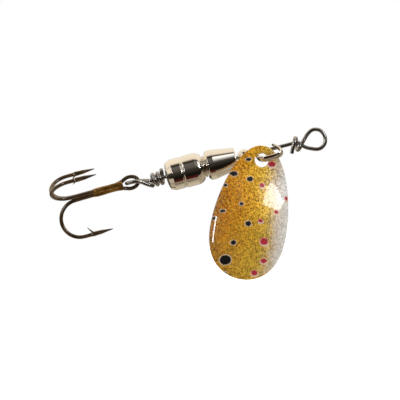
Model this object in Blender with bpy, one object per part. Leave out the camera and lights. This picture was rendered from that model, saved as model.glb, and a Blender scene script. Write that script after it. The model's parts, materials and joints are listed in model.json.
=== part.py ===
"""Inline spinner, a fishing lure: a wire shaft with a blade on a clevis, a bead, turned weights and a treble.

Frame: the line eye is at the origin, the shaft lies along X with the treble at -X, the blade hangs towards
-Z, and -Y is the side that the blade's bulging face looks to. Lengths below are in millimetres; MM turns them
to metres.
"""

import math

import bpy
import numpy as np

MM = 0.001

# Driving sizes.
SHAFT_R = 0.40
BORE_R = 0.47
BODY_R = 3.33
REAR_BODY_R = 3.27
CONE_R = 3.10
CONE_FRONT_R = 2.30
BEAD_R = 1.45
BLADE_LENGTH = 28.2
BLADE_THICKNESS = 0.50
BLADE_CUP = 1.9
BLADE_CUP_POWER = 2.6
BLADE_RISE = (-1.0, 14.0)  # where the cup starts, down from the hole, and the length over which it deepens
HOOK_R = 0.40
HOOK_BEND_R = 3.90

# Places along the shaft, from the front eye backwards.
CLEVIS_FRONT_X = -8.0
CLEVIS_REAR_X = -12.6
BLADE_HOLE_X = -11.9
BEAD_X = -15.1
CONE_X = (-16.9, -23.3)
NECK_X = (-23.42, -23.98)
BODY_X = (-24.05, -31.98)
GROOVE_X = (-27.7, -28.25, -28.4, -28.75)
REAR_BAND_END_X = -30.5
CONE_BAND_X = (-21.7, -22.85)
REAR_WRAP_X = (-32.7, -35.15)
REAR_LOOP_END_X = -40.25
REAR_LOOP_Z = 0.72

# The clevis hangs from the shaft, turned towards -Y by this angle.
CLEVIS_SPIN = math.radians(53.5)
CLEVIS_DEPTH = 2.80
CLEVIS_WIDTH = 1.4
CLEVIS_THICKNESS = 0.60
CLEVIS_EAR_WIDTH = 2.2
CLEVIS_EAR_THICKNESS = 0.45
CLEVIS_EAR_BORE_R = 0.58
EAR_SHARE = 0.245
FRONT_EAR_ACROSS = (-0.342, -0.704, 0.622)

# The blade lies in a plane turned about Z, and leans back from the vertical in that plane.
BLADE_HOLE_R = 1.45
BLADE_HOLE_Y = -1.65
BLADE_HOLE_Z = -1.75
BLADE_TOP = 3.05
BLADE_YAW = math.radians(12)
BLADE_LEAN = math.radians(26)

# The treble's axis runs from its eye towards -X, a little down and to one side.
TREBLE_EYE_X = -39.5
TREBLE_EYE_Z = 0.70
TREBLE_EYE_LONG = 1.72
TREBLE_EYE_TALL = 1.33
TREBLE_PITCH = math.radians(0.8)
TREBLE_YAW = math.radians(2.2)
TREBLE_PIVOT = (REAR_LOOP_END_X, 0.0, REAR_LOOP_Z)
UPPER_HOOK = math.radians(36.3)
NEAR_HOOK = UPPER_HOOK + 2 * math.pi / 3
LOWER_HOOK = UPPER_HOOK - 2 * math.pi / 3
UPPER_SET_BACK = 0.45
NEAR_SET_BACK = 0.35
LOWER_SET_BACK = 0.0
STRAND_OUT = 0.50
SHANK_LENGTH = 12.1
HOOK_REACH = 8.35
POINT_LENGTH = 6.1
POINT_SHARES = (0.22, 0.32, 0.6, 1.0)
POINT_TAPER = (0.41, 0.50, 0.43, 0.08)
BRAZE_FROM = 1.9
BRAZE_TO = 8.0
BRAZE_BORE_R = 0.95
BRAZE_R = 1.08

# Each look is a name, a colour, a roughness and a metallic value.
NICKEL = ("nickel", (0.72, 0.69, 0.64), 0.18, 1.0)
WIRE_STEEL = ("wire_steel", (0.33, 0.32, 0.30), 0.30, 1.0)
BLADE_PAINT = ("blade_paint", (0.55, 0.30, 0.05), 0.28, 0.25)
HOOK_BRONZE = ("hook_bronze", (0.10, 0.075, 0.045), 0.35, 0.9)
BRAZE_METAL = ("braze_metal", (0.35, 0.23, 0.08), 0.40, 1.0)


def clear_scene():
    for obj in list(bpy.data.objects):
        bpy.data.objects.remove(obj, do_unlink=True)


def material(name, colour, roughness, metallic):
    found = bpy.data.materials.get(name)
    if found:
        return found
    made = bpy.data.materials.new(name)
    made.use_nodes = True
    shader = made.node_tree.nodes["Principled BSDF"]
    shader.inputs["Base Color"].default_value = (*colour, 1.0)
    shader.inputs["Roughness"].default_value = roughness
    shader.inputs["Metallic"].default_value = metallic
    return made


def add_piece(name, points, faces, look, pivot=(0.0, 0.0, 0.0)):
    """An object whose origin is at pivot, from points in the lure's own frame."""
    pivot = np.array(pivot, float)
    mesh = bpy.data.meshes.new(name)
    mesh.from_pydata(((np.array(points) - pivot) * MM).tolist(), [], faces)
    mesh.materials.append(material(*look))
    mesh.shade_smooth()
    mesh.set_sharp_from_angle(angle=math.radians(35))
    obj = bpy.data.objects.new(name, mesh)
    obj.location = (pivot * MM).tolist()
    bpy.context.scene.collection.objects.link(obj)
    return obj


def join_by_boolean(obj, tool, operation):
    tool.hide_render = True
    tool.display_type = "WIRE"
    modifier = obj.modifiers.new(tool.name, "BOOLEAN")
    modifier.operation = operation
    modifier.solver = "EXACT"
    modifier.object = tool


def smooth_path(keys, steps):
    """Points on a smooth curve through the key points, with steps points to each stretch."""
    keys = np.array(keys, float)
    ends = np.vstack([2 * keys[0] - keys[1], keys, 2 * keys[-1] - keys[-2]])
    path = []
    for a, b, c, d in zip(ends, ends[1:], ends[2:], ends[3:]):
        square = 2 * a - 5 * b + 4 * c - d
        cube = 3 * b - a - 3 * c + d
        for t in np.arange(steps) / steps:
            path.append(0.5 * (2 * b + (c - a) * t + square * t**2 + cube * t**3))
    path.append(keys[-1])
    return np.array(path)


def smooth_step(share):
    share = np.clip(share, 0, 1)
    return share * share * (3 - 2 * share)


def unit(vectors):
    return vectors / np.linalg.norm(vectors, axis=-1, keepdims=True)


def carried_normals(path):
    """A sideways direction at each point of the path, carried along without twist."""
    tangents = unit(np.gradient(path, axis=0))
    first = np.array((0.0, 1.0, 0.0)) if abs(tangents[0][1]) < 0.8 else np.array((0.0, 0.0, 1.0))
    normals = []
    for tangent in tangents:
        first = unit(first - tangent * first.dot(tangent))
        normals.append(first)
    return np.array(normals)


def sweep(path, wide, thick, sides, normals=None):
    """A closed bar along the path. wide and thick are half sizes, along the normals and across them."""
    path = np.array(path, float)
    tangents = unit(np.gradient(path, axis=0))
    normals = carried_normals(path) if normals is None else normals
    normals = unit(normals - tangents * (normals * tangents).sum(axis=1, keepdims=True))
    others = np.cross(tangents, normals)
    wide = np.broadcast_to(wide, len(path))
    thick = np.broadcast_to(thick, len(path))
    points = []
    for centre, normal, other, half_wide, half_thick in zip(path, normals, others, wide, thick):
        for angle in np.arange(sides) * 2 * math.pi / sides:
            sideways = normal * half_wide * math.cos(angle) + other * half_thick * math.sin(angle)
            points.append(centre + sideways)
    faces = []
    for ring in range(len(path) - 1):
        for side in range(sides):
            after = (side + 1) % sides
            low = ring * sides
            high = low + sides
            faces.append((low + side, low + after, high + after, high + side))
    last = (len(path) - 1) * sides
    faces.append(tuple(reversed(range(sides))))
    faces.append(tuple(range(last, last + sides)))
    return points, faces


def lathe(profile, sides):
    """A ring around the X axis. profile is a closed outline of (x, r), in order with +X first."""
    points = []
    for angle in np.arange(sides) * 2 * math.pi / sides:
        for x, r in profile:
            points.append((x, r * math.cos(angle), r * math.sin(angle)))
    count = len(profile)
    faces = []
    for side in range(sides):
        here = side * count
        there = ((side + 1) % sides) * count
        for k in range(count):
            after = (k + 1) % count
            faces.append((here + k, here + after, there + after, there + k))
    return points, faces


def arc(centre, radii, start, end, steps):
    """Points on an ellipse's arc, from start to end in degrees, as (x, r)."""
    angles = np.radians(np.linspace(start, end, steps + 1))
    return [(centre[0] + radii[0] * math.cos(a), centre[1] + radii[1] * math.sin(a)) for a in angles]


def coil(x_from, x_to, radius, start, turns, steps):
    """Points of a coil round the X axis. Angle 0 is at +Y and 90 degrees is at +Z."""
    share = np.linspace(0, 1, steps + 1)
    angle = math.radians(start) + share * turns * 2 * math.pi
    x = x_from + share * (x_to - x_from)
    return np.column_stack([x, radius * np.cos(angle), radius * np.sin(angle)])


def shaft_path():
    """The one wire, from the cut end at the rear wraps, round both loops, to the cut end at the front."""
    rear_tag = [(-32.58, 0.2, 1.68), (-32.62, 0.75, 1.15)]
    wraps = coil(*REAR_WRAP_X, 1.15, 12, -2.28, 32)
    end = REAR_LOOP_END_X
    half = 1.45
    rear_loop = [
        (-36.2, -0.62, -0.55),
        (-37.3, -1.12, 0.25),
        (-38.3, -half, 0.62),
        (end + half * 0.45, -half * 0.83, REAR_LOOP_Z),
        (end, 0.0, REAR_LOOP_Z),
        (end + half * 0.45, half * 0.83, REAR_LOOP_Z),
        (-38.3, half, 0.66),
        (-37.2, 1.05, 0.52),
        (-36.1, 0.35, 0.22),
        (-35.3, 0.04, 0.0),
        (-34.6, 0.0, 0.0),
    ]
    eye = [
        (-4.2, 0.0, 0.0),
        (-3.6, 0.05, -0.05),
        (-2.75, 0.32, -1.05),
        (-1.5, 0.18, -1.88),
        (0.3, 0.0, -2.48),
        (1.7, 0.0, -1.8),
        (2.15, 0.0, -0.25),
        (1.5, 0.0, 1.2),
        (0.1, 0.0, 1.7),
        (-1.15, -0.20, 1.15),
        (-2.0, -0.48, 0.35),
        (-2.7, -0.75, -0.35),
        (-3.35, -0.80, -1.1),
        (-3.95, -0.10, -1.6),
        (-4.12, 0.80, -1.0),
        (-3.92, 1.05, -0.1),
        (-3.75, 0.60, 0.75),
        (-3.95, -0.40, 0.93),
        (-4.25, -1.05, 0.35),
        (-4.7, -1.15, -0.5),
        (-5.15, -1.0, -1.35),
        (-5.45, -0.9, -2.02),
    ]
    tag = smooth_path(rear_tag + [wraps[0]], 3)[:-1]
    loop = smooth_path([wraps[-1]] + rear_loop, 5)[1:]
    return np.vstack([tag, wraps, loop, smooth_path(eye, 5)])


def build_shaft():
    points, faces = sweep(shaft_path(), SHAFT_R, SHAFT_R, 8)
    add_piece("shaft_wire", points, faces, WIRE_STEEL)


def build_body():
    """A domed front, a shallow groove between two bands, a chamfer and a rounded rear."""
    front, rear = BODY_X
    groove_front, groove_floor_front, groove_floor_rear, groove_rear = GROOVE_X
    groove_r = REAR_BODY_R - 0.22
    front_dome = ((front - 1.45, 1.3), (1.8, 1.98))
    rear_dome = ((rear + 0.75, 0.0), (0.75, 3.03))
    profile = [(front, BORE_R)]
    profile += arc(*front_dome, 36, 81, 5)
    profile += [(front - 1.4, BODY_R), (groove_front, BODY_R)]
    profile += [(groove_floor_front + 0.1, groove_r + 0.12), (groove_floor_front, groove_r)]
    profile += [(groove_floor_rear, groove_r), (groove_rear, REAR_BODY_R)]
    profile += [(REAR_BAND_END_X, REAR_BODY_R)]
    profile += arc(*rear_dome, 110, 160, 5)
    profile += [(rear, BORE_R)]
    points, faces = lathe(profile, 28)
    add_piece("body_weight", points, faces, NICKEL)


def build_neck_ring():
    front, rear = NECK_X
    middle = (front + rear) / 2
    half = (front - rear) / 2
    profile = [(front, BORE_R)] + arc((middle, 2.0), (half, 0.28), 0, 180, 4) + [(rear, BORE_R)]
    points, faces = lathe(profile, 28)
    add_piece("neck_ring", points, faces, NICKEL)


def build_cone():
    front, rear = CONE_X
    profile = [(front, BORE_R)]
    profile += arc((front - 0.3, CONE_FRONT_R - 0.3), (0.3, 0.3), 0, 80, 3)
    band_front, band_rear = CONE_BAND_X
    profile += [(band_front, CONE_R), (band_rear, CONE_R), (rear, CONE_R - 0.6), (rear, BORE_R)]
    points, faces = lathe(profile, 28)
    add_piece("bell_cone", points, faces, NICKEL)


def build_bead():
    edge = math.degrees(math.asin(BORE_R / BEAD_R))
    profile = arc((BEAD_X, 0.0), (BEAD_R, BEAD_R), edge, 180 - edge, 10)
    points, faces = lathe(profile, 20)
    add_piece("bearing_bead", points, faces, NICKEL)


def clevis_place(x, depth):
    """A point of the clevis' own plane, depth below the shaft's axis, in the lure's frame."""
    return (x, -depth * math.sin(CLEVIS_SPIN), -depth * math.cos(CLEVIS_SPIN))


def build_clevis():
    """A stirrup of flattened wire. Each end is a wide ear, bored for the shaft. The front ear is twisted."""
    front = CLEVIS_FRONT_X
    rear = CLEVIS_REAR_X
    keys = [
        (rear + 0.15, -1.1),
        (rear, 0.0),
        (rear + 0.05, 1.0),
        (rear + 0.35, 2.1),
        (rear + 1.3, CLEVIS_DEPTH),
        (rear + 2.4, CLEVIS_DEPTH + 0.1),
        (front - 0.55, CLEVIS_DEPTH),
        (front + 0.45, 2.15),
        (front + 0.5, 1.1),
        (front, 0.0),
        (front - 0.75, -1.35),
    ]
    path = smooth_path([clevis_place(*key) for key in keys], 4)
    share = np.linspace(0, 1, len(path))
    to_end = np.minimum(share, 1 - share)
    ear = smooth_step((EAR_SHARE - to_end) / (0.75 * EAR_SHARE))
    rounding = 0.35 + 0.65 * np.sqrt(1 - (1 - np.clip(to_end / 0.085, 0, 1)) ** 2)
    wide = (CLEVIS_WIDTH + (CLEVIS_EAR_WIDTH - CLEVIS_WIDTH) * ear) / 2 * rounding
    thick = (CLEVIS_THICKNESS + (CLEVIS_EAR_THICKNESS - CLEVIS_THICKNESS) * ear) / 2
    twist = smooth_step((share - 0.72) / 0.2)[:, None]
    across = np.array((0.0, -math.cos(CLEVIS_SPIN), math.sin(CLEVIS_SPIN)))
    points, faces = sweep(path, wide, thick, 12, across * (1 - twist) + np.array(FRONT_EAR_ACROSS) * twist)
    clevis = add_piece("clevis", points, faces, NICKEL)
    line = [(rear - 2, 0.0, 0.0), (front + 2, 0.0, 0.0)]
    points, faces = sweep(line, CLEVIS_EAR_BORE_R, CLEVIS_EAR_BORE_R, 16)
    join_by_boolean(clevis, add_piece("clevis_bore_cutter", points, faces, NICKEL), "DIFFERENCE")


def blade_outline(count):
    """The egg-shaped outline, as (along, across) from the hole, with along pointing down the blade."""
    turn = np.arange(count) * 2 * math.pi / count
    along = BLADE_LENGTH / 2 * (1 - np.cos(turn)) - BLADE_TOP
    across = np.sin(turn) * (7.84 - 1.87 * np.cos(turn) + 1.10 * np.cos(turn) ** 2)
    return np.column_stack([along, across])


def blade_place(along, across, out):
    """A point of the blade in the lure's frame. out is the height above the blade's plane, towards -Y."""
    right = np.array((math.cos(BLADE_YAW), math.sin(BLADE_YAW), 0.0))
    outward = np.array((math.sin(BLADE_YAW), -math.cos(BLADE_YAW), 0.0))
    down = np.array((0.0, 0.0, -1.0))
    long_axis = down * math.cos(BLADE_LEAN) - right * math.sin(BLADE_LEAN)
    cross_axis = right * math.cos(BLADE_LEAN) + down * math.sin(BLADE_LEAN)
    hole = np.array((BLADE_HOLE_X, BLADE_HOLE_Y, BLADE_HOLE_Z))
    return hole + long_axis * along + cross_axis * across + outward * out


def build_blade():
    """A cupped plate: rings of the outline, shrinking to the middle, on two faces."""
    sides = 40
    rings = 7
    middle = np.array((BLADE_LENGTH / 2 - BLADE_TOP + 1.2, 0.0))
    outline = blade_outline(sides)
    half = BLADE_THICKNESS / 2

    def height(place, share):
        rise = smooth_step((place[0] - BLADE_RISE[0]) / BLADE_RISE[1])
        return BLADE_CUP * (1 - share**BLADE_CUP_POWER) * rise

    points = []
    for face in (half, -half):
        for ring in range(rings):
            share = 1 - ring / rings
            for edge in outline:
                place = middle + (edge - middle) * share
                points.append(blade_place(*place, height(place, share) + face))
        points.append(blade_place(*middle, height(middle, 0) + face))
    layer = sides * rings + 1
    faces = []
    for side in range(sides):
        after = (side + 1) % sides
        for ring in range(rings - 1):
            low = ring * sides
            high = low + sides
            faces.append((low + side, high + side, high + after, low + after))
            faces.append((layer + low + after, layer + high + after, layer + high + side, layer + low + side))
        top = (rings - 1) * sides
        faces.append((top + side, layer - 1, top + after))
        faces.append((layer + top + after, 2 * layer - 1, layer + top + side))
        faces.append((side, after, layer + after, layer + side))
    hole = (BLADE_HOLE_X, BLADE_HOLE_Y, BLADE_HOLE_Z)
    blade = add_piece("blade", points, faces, BLADE_PAINT, hole)
    line = [blade_place(0, 0, -2), blade_place(0, 0, 2)]
    points, faces = sweep(line, BLADE_HOLE_R, BLADE_HOLE_R, 24)
    join_by_boolean(blade, add_piece("blade_hole_cutter", points, faces, BLADE_PAINT, hole), "DIFFERENCE")


def treble_place(back, y, z):
    """A point of the treble in the lure's frame. back is the distance behind the treble's eye."""
    x = -back * math.cos(TREBLE_PITCH) - z * math.sin(TREBLE_PITCH)
    z = z * math.cos(TREBLE_PITCH) - back * math.sin(TREBLE_PITCH)
    turned_x = x * math.cos(TREBLE_YAW) - y * math.sin(TREBLE_YAW)
    turned_y = y * math.cos(TREBLE_YAW) + x * math.sin(TREBLE_YAW)
    return (TREBLE_EYE_X + turned_x, turned_y, TREBLE_EYE_Z + z)


def hook_places(angle, set_back):
    """One hook's wire as (back, y, z): its strand of the shank, a half-circle bend and the straight point."""
    start = SHANK_LENGTH + set_back
    bend_middle = HOOK_REACH - HOOK_BEND_R
    spots = [(BRAZE_FROM + 1.0, STRAND_OUT), (BRAZE_TO - 1.5, STRAND_OUT), (BRAZE_TO + 1.5, STRAND_OUT)]
    for turn in np.linspace(0, math.pi, 13):
        spots.append((start + HOOK_BEND_R * math.sin(turn), bend_middle - HOOK_BEND_R * math.cos(turn)))
    for share in POINT_SHARES:
        spots.append((start - POINT_LENGTH * share, HOOK_REACH))
    return [(back, out * math.cos(angle), out * math.sin(angle)) for back, out in spots]


def hook_wire(places, radii):
    path = smooth_path([treble_place(*place) for place in places], 2)
    radii = np.interp(np.arange(len(path)) / 2, np.arange(len(radii)), radii)
    return sweep(path, radii, radii, 8)


def add_barb(hook, name, angle, set_back):
    """A thin spike, cut up from the inner side of the point and leaning back to the bend."""
    root = SHANK_LENGTH + set_back - POINT_LENGTH * 0.28
    spots = ((root - 0.5, HOOK_REACH - 0.1), (root, HOOK_REACH - 0.6), (root + 0.75, HOOK_REACH - 1.7))
    path = [treble_place(back, out * math.cos(angle), out * math.sin(angle)) for back, out in spots]
    points, faces = sweep(path, (0.22, 0.24, 0.06), (0.22, 0.20, 0.06), 6)
    join_by_boolean(hook, add_piece(name, points, faces, HOOK_BRONZE, TREBLE_PIVOT), "UNION")


def build_double_hook():
    """One wire: the lower hook, the eye and the upper hook. The eye lies in the plane of its two strands."""
    pair_angle = NEAR_HOOK - math.pi / 2
    ring = []
    for turn in np.radians(np.linspace(-125, 125, 15)):
        back = -TREBLE_EYE_LONG * math.cos(turn)
        side = TREBLE_EYE_TALL * math.sin(turn)
        ring.append((back, side * math.cos(pair_angle), side * math.sin(pair_angle)))
    lower = hook_places(LOWER_HOOK, LOWER_SET_BACK)
    upper = hook_places(UPPER_HOOK, UPPER_SET_BACK)
    radii = np.full(len(upper), HOOK_R)
    radii[-len(POINT_TAPER) :] = POINT_TAPER
    radii = np.concatenate([radii[::-1], np.full(len(ring), HOOK_R), radii])
    points, faces = hook_wire(lower[::-1] + ring + upper, radii)
    hook = add_piece("double_hook", points, faces, HOOK_BRONZE, TREBLE_PIVOT)
    add_barb(hook, "lower_barb", LOWER_HOOK, LOWER_SET_BACK)
    add_barb(hook, "upper_barb", UPPER_HOOK, UPPER_SET_BACK)


def build_single_hook():
    places = hook_places(NEAR_HOOK, NEAR_SET_BACK)
    radii = np.full(len(places), HOOK_R)
    radii[-len(POINT_TAPER) :] = POINT_TAPER
    points, faces = hook_wire(places, radii)
    hook = add_piece("single_hook", points, faces, HOOK_BRONZE, TREBLE_PIVOT)
    add_barb(hook, "near_barb", NEAR_HOOK, NEAR_SET_BACK)


def build_braze():
    """The brazing that wraps the three strands of the shank, and widens to the eye."""
    wall = BRAZE_R - BRAZE_BORE_R
    flare = 0.2
    spots = [(BRAZE_FROM, BRAZE_BORE_R + flare), (BRAZE_FROM, BRAZE_R + flare)]
    spots += [(BRAZE_FROM + 1.2, BRAZE_R), (BRAZE_TO - 0.4, BRAZE_R), (BRAZE_TO, BRAZE_R - wall * 0.6)]
    spots += [(BRAZE_TO, BRAZE_BORE_R), (BRAZE_FROM + 1.2, BRAZE_BORE_R)]
    points, faces = lathe([(-back, r) for back, r in spots], 20)
    points = [treble_place(-x, y, z) for x, y, z in points]
    add_piece("shank_braze", points, faces, BRAZE_METAL, TREBLE_PIVOT)


clear_scene()
build_shaft()
build_clevis()
build_blade()
build_bead()
build_cone()
build_neck_ring()
build_body()
build_double_hook()
build_single_hook()
build_braze()
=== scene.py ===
"""Looks of the inline spinner: fine meshes with metal, lacquer and paint looks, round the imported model.

Frame: the line eye is at the origin, the shaft lies along X with the treble at -X, the blade hangs
towards -Z, and the camera stands on the -Y side. Lengths are in millimetres, and MM turns them into metres.
"""

import json
import math

import bpy
import numpy as np
from mathutils import Matrix, Quaternion, Vector, noise


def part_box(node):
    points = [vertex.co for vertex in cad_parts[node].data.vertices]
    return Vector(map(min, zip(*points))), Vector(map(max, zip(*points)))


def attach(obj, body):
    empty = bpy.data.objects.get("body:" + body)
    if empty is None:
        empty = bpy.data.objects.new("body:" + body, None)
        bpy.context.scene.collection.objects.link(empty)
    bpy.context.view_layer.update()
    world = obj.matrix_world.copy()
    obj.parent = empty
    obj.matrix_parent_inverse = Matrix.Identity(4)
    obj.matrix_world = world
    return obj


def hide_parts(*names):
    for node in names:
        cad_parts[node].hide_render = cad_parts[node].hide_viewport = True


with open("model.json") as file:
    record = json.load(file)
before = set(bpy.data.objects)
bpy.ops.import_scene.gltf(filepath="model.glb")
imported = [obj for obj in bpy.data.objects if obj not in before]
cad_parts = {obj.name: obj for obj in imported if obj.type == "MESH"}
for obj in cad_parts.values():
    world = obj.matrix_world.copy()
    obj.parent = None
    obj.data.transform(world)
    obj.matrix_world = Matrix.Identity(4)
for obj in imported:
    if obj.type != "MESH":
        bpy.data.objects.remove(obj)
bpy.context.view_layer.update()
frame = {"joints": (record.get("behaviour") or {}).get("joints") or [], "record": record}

MM = 0.001

# ---------------------------------------------------------------- sizes


def box_mm(node):
    low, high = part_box(node)
    return np.array(low) / MM, np.array(high) / MM


def joint_mm(name):
    found = next(joint for joint in frame["joints"] if joint["name"] == name)
    return np.array(found["pos_m"]) / MM, np.array(found["axis"])


BODY_OF = {node: body for body, nodes in frame["record"]["behaviour"]["bodies"].items() for node in nodes}

# Wire and bores.
SHAFT_R = 0.40
BORE_R = 0.47
HOOK_R = 0.40

# Turned parts, from the boxes of their CAD nodes, as rear x, front x and radius.
BODY_REAR_X, BODY_FRONT_X, BODY_R = (box_mm("body_weight")[0][0], *box_mm("body_weight")[1][[0, 2]])
CONE_REAR_X, CONE_FRONT_X, CONE_R = (box_mm("bell_cone")[0][0], *box_mm("bell_cone")[1][[0, 2]])
NECK_REAR_X, NECK_FRONT_X, NECK_R = (box_mm("neck_ring")[0][0], *box_mm("neck_ring")[1][[0, 2]])
BEAD_X = box_mm("bearing_bead")[0][0] / 2 + box_mm("bearing_bead")[1][0] / 2
BEAD_R = 1.45
REAR_BAND_R = BODY_R - 0.06
REAR_BAND_END_X = BODY_REAR_X + 1.48
GROOVE_X = (-27.7, -28.25, -28.4, -28.75)
GROOVE_R = REAR_BAND_R - 0.22
CONE_FRONT_R = 2.30
CONE_BAND_X = (-21.7, -22.85)

# Clevis: it hangs from the shaft, turned towards -Y by CLEVIS_SPIN.
CLEVIS_FRONT_X = -8.0
CLEVIS_REAR_X = -12.6
CLEVIS_SPIN = math.radians(53.5)
CLEVIS_DEPTH = 2.80
CLEVIS_WIDTH = 1.4
CLEVIS_THICKNESS = 0.60
CLEVIS_EAR_WIDTH = 2.2
CLEVIS_EAR_THICKNESS = 0.45
CLEVIS_EAR_BORE_R = 0.58
EAR_SHARE = 0.245
FRONT_EAR_ACROSS = np.array((-0.342, -0.704, 0.622))

# Blade: it hangs by its hole, turned about Z and leaning back from the vertical.
BLADE_HOLE, BLADE_OUTWARD = joint_mm("blade_swing")
BLADE_OUTWARD = -BLADE_OUTWARD
BLADE_LEAN = math.radians(26)
BLADE_LENGTH = 28.2
BLADE_HALF_WIDTH = 7.84
BLADE_TAPER = 1.87
BLADE_FULLNESS = 1.10
BLADE_THICKNESS = 0.50
BLADE_CUP = 1.9
BLADE_CUP_POWER = 2.6
BLADE_CUP_BELOW = 1.2
BLADE_RISE = (-1.0, 14.0)
BLADE_HOLE_R = 1.45
BLADE_TOP = 3.05

# Treble: its axis runs from its eye towards -X, a little down and to one side.
TREBLE_PIVOT = joint_mm("treble_swing")[0]
TREBLE_EYE = np.array((-39.5, 0.0, 0.70))
TREBLE_EYE_LONG = 1.72
TREBLE_EYE_TALL = 1.33
TREBLE_PITCH = math.radians(0.8)
TREBLE_YAW = math.radians(2.2)
UPPER_HOOK = math.radians(36.3)
NEAR_HOOK = UPPER_HOOK + 2 * math.pi / 3
LOWER_HOOK = UPPER_HOOK - 2 * math.pi / 3
UPPER_SET_BACK = 0.45
NEAR_SET_BACK = 0.35
LOWER_SET_BACK = 0.0
STRAND_OUT = 0.50
SHANK_LENGTH = 12.1
HOOK_REACH = 8.35
HOOK_BEND_R = 3.90
POINT_LENGTH = 6.1
POINT_SHARES = (0.22, 0.32, 0.6, 1.0)
POINT_TAPER = (0.41, 0.50, 0.43, 0.08)
BRAZE_FROM = 1.9
BRAZE_TO = 8.0

# The camera's turn about its own axis, which makes the shaft rise to the right.
CAMERA_ROLL = math.radians(14.7)

# ---------------------------------------------------------------- mesh helpers


def smooth_path(keys, steps):
    """Points on a smooth curve through the key points, with steps points to each stretch."""
    keys = np.array(keys, float)
    ends = np.vstack([2 * keys[0] - keys[1], keys, 2 * keys[-1] - keys[-2]])
    path = []
    for a, b, c, d in zip(ends, ends[1:], ends[2:], ends[3:]):
        square = 2 * a - 5 * b + 4 * c - d
        cube = 3 * b - a - 3 * c + d
        for t in np.arange(steps) / steps:
            path.append(0.5 * (2 * b + (c - a) * t + square * t**2 + cube * t**3))
    path.append(keys[-1])
    return np.array(path)


def smooth_step(share):
    share = np.clip(share, 0, 1)
    return share * share * (3 - 2 * share)


def unit(vectors):
    return vectors / np.linalg.norm(vectors, axis=-1, keepdims=True)


def carried_normals(path):
    """A sideways direction at each point of the path, carried along without twist."""
    tangents = unit(np.gradient(path, axis=0))
    first = np.array((0.0, 1.0, 0.0)) if abs(tangents[0][1]) < 0.8 else np.array((0.0, 0.0, 1.0))
    normals = []
    for tangent in tangents:
        first = unit(first - tangent * first.dot(tangent))
        normals.append(first)
    return np.array(normals)


def grid_faces(rings, sides):
    """Quads that join each ring of points to the next, round a closed ring."""
    ring, side = np.meshgrid(np.arange(rings - 1), np.arange(sides), indexing="ij")
    low = ring * sides
    after = (side + 1) % sides
    quads = np.stack([low + side, low + after, low + after + sides, low + side + sides], axis=-1)
    return [tuple(quad) for quad in quads.reshape(-1, 4).tolist()]


def tube(path, wide, thick, sides, normals=None, square=1.0):
    """A closed bar along the path, as points, faces and, for each point, its place along and across it."""
    path = np.array(path, float)
    tangents = unit(np.gradient(path, axis=0))
    normals = carried_normals(path) if normals is None else normals
    normals = unit(normals - tangents * (normals * tangents).sum(axis=1, keepdims=True))
    others = np.cross(tangents, normals)
    turn = np.arange(sides) * 2 * math.pi / sides
    across = np.sign(np.cos(turn)) * np.abs(np.cos(turn)) ** square
    up = np.sign(np.sin(turn)) * np.abs(np.sin(turn)) ** square
    across = np.broadcast_to(wide, len(path))[:, None] * across
    up = np.broadcast_to(thick, len(path))[:, None] * up
    points = path[:, None] + normals[:, None] * across[..., None] + others[:, None] * up[..., None]
    steps = np.linalg.norm(np.diff(path, axis=0), axis=1)
    along = np.concatenate([[0], np.cumsum(steps)])[:, None] + 0 * across
    flow = np.stack([along, across, up], axis=-1)
    last = (len(path) - 1) * sides
    caps = [tuple(reversed(range(sides))), tuple(range(last, last + sides))]
    return points.reshape(-1, 3), grid_faces(len(path), sides) + caps, flow.reshape(-1, 3)


def with_eased_ends(path, radii, ease):
    """The path and its radii with one more ring near each end, so that the cut ends have eased edges."""
    start = path[0] + unit(path[1] - path[0]) * ease
    end = path[-1] - unit(path[-1] - path[-2]) * ease
    radii = np.broadcast_to(radii, len(path))
    path = np.vstack([path[:1], start, path[1:-1], end, path[-1:]])
    radii = np.concatenate([[radii[0] - ease], radii[:-1], [radii[-1], radii[-1] - ease]])
    return path, radii


def arc(centre, radii, start, end, steps):
    """Points on an ellipse's arc, from start to end in degrees, as (x, r)."""
    angles = np.radians(np.linspace(start, end, steps + 1))
    return [(centre[0] + radii[0] * math.cos(a), centre[1] + radii[1] * math.sin(a)) for a in angles]


def eased(profile, reach, steps=5):
    """The closed outline with each corner turned into a short curve that starts up to reach before it."""
    made = []
    count = len(profile)
    for k in range(count):
        before, here, after = (np.array(profile[(k + d) % count], float) for d in (-1, 0, 1))
        back, on = before - here, after - here
        lengths = np.linalg.norm(back), np.linalg.norm(on)
        bend = math.acos(np.clip(-(back @ on) / (lengths[0] * lengths[1]), -1, 1))
        if bend < math.radians(12):
            made.append(tuple(here))
            continue
        cut = min(reach, 0.45 * lengths[0], 0.45 * lengths[1])
        start = here + back / lengths[0] * cut
        end = here + on / lengths[1] * cut
        for t in np.linspace(0, 1, steps):
            made.append(tuple(start * (1 - t) ** 2 + 2 * here * t * (1 - t) + end * t**2))
    return made


def supported(profile, margin=0.03, longest=0.12):
    """The closed outline with points near both ends of each long stretch, which keep its shading flat."""
    made = []
    for here, there in zip(profile, profile[1:] + profile[:1]):
        here, there = np.array(here, float), np.array(there, float)
        length = np.linalg.norm(there - here)
        made.append(here)
        if length > longest:
            step = (there - here) / length * margin
            made += [here + step, there - step]
    return np.array(made)


def lathe(profile, sides=144, ease=0.06):
    """A ring round the X axis. profile is a closed outline of (x, r), in order with +X first."""
    outline = supported(eased(profile, ease))
    turn = np.arange(sides)[:, None] * 2 * math.pi / sides
    x = outline[:, 0] + 0 * turn
    points = np.stack([x, outline[:, 1] * np.cos(turn), outline[:, 1] * np.sin(turn)], axis=-1)
    count = len(outline)
    faces = []
    for side in range(sides):
        here = side * count
        there = ((side + 1) % sides) * count
        for k in range(count):
            after = (k + 1) % count
            faces.append((here + k, here + after, there + after, there + k))
    flow = np.stack([x, outline[:, 1] + 0 * turn, turn + 0 * x], axis=-1)
    return points.reshape(-1, 3), faces, flow.reshape(-1, 3)


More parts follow.
